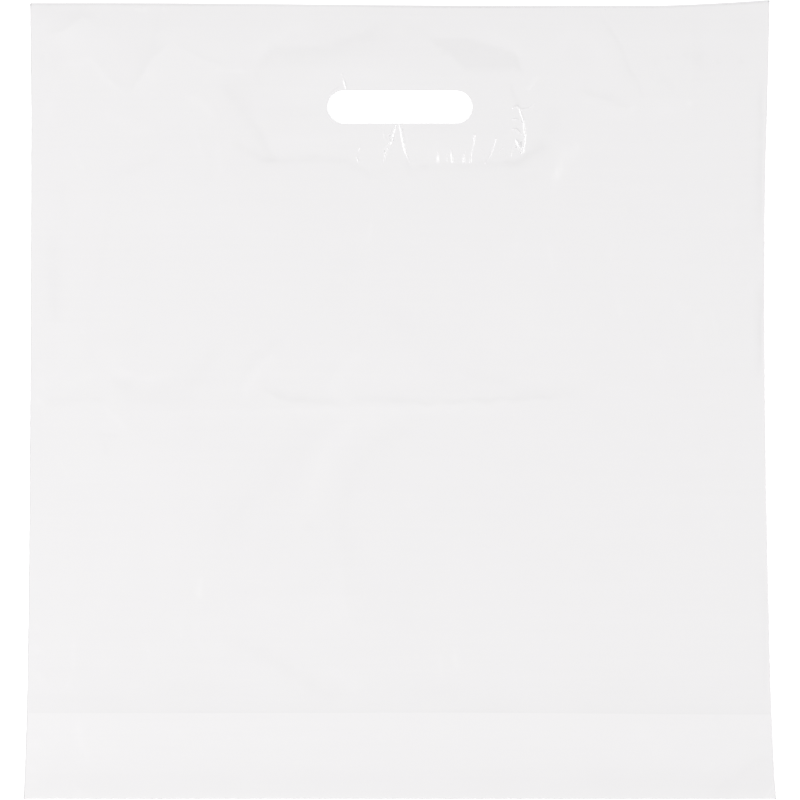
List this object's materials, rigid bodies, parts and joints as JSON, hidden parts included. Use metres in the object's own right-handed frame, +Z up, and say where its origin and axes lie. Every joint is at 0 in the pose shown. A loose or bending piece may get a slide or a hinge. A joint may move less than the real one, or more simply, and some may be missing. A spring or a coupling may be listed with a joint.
{
  "type": "plastic carrier bag",
  "caption": "White polythene carrier bag with a punched hand slot, reinforcing patches and a bottom gusset, lying flat.",
  "frame": {"origin": "under the middle of the bag, on the surface that its back panel lies on", "axes": "+X across the bag, +Y from the bottom folds to the mouth, +Z up through the front panel"},
  "size_m": [0.4586, 0.487, 0.0021],
  "materials": {
    "white_film": "white low-density polythene film, slightly translucent, soft gloss",
    "clear_film": "natural polythene film, clear with a faint haze, glossy"
  },
  "bodies": {
    "root": {"bag_film": "white_film", "front_patch": "clear_film", "back_patch": "clear_film"}
  },
  "joints": []
}
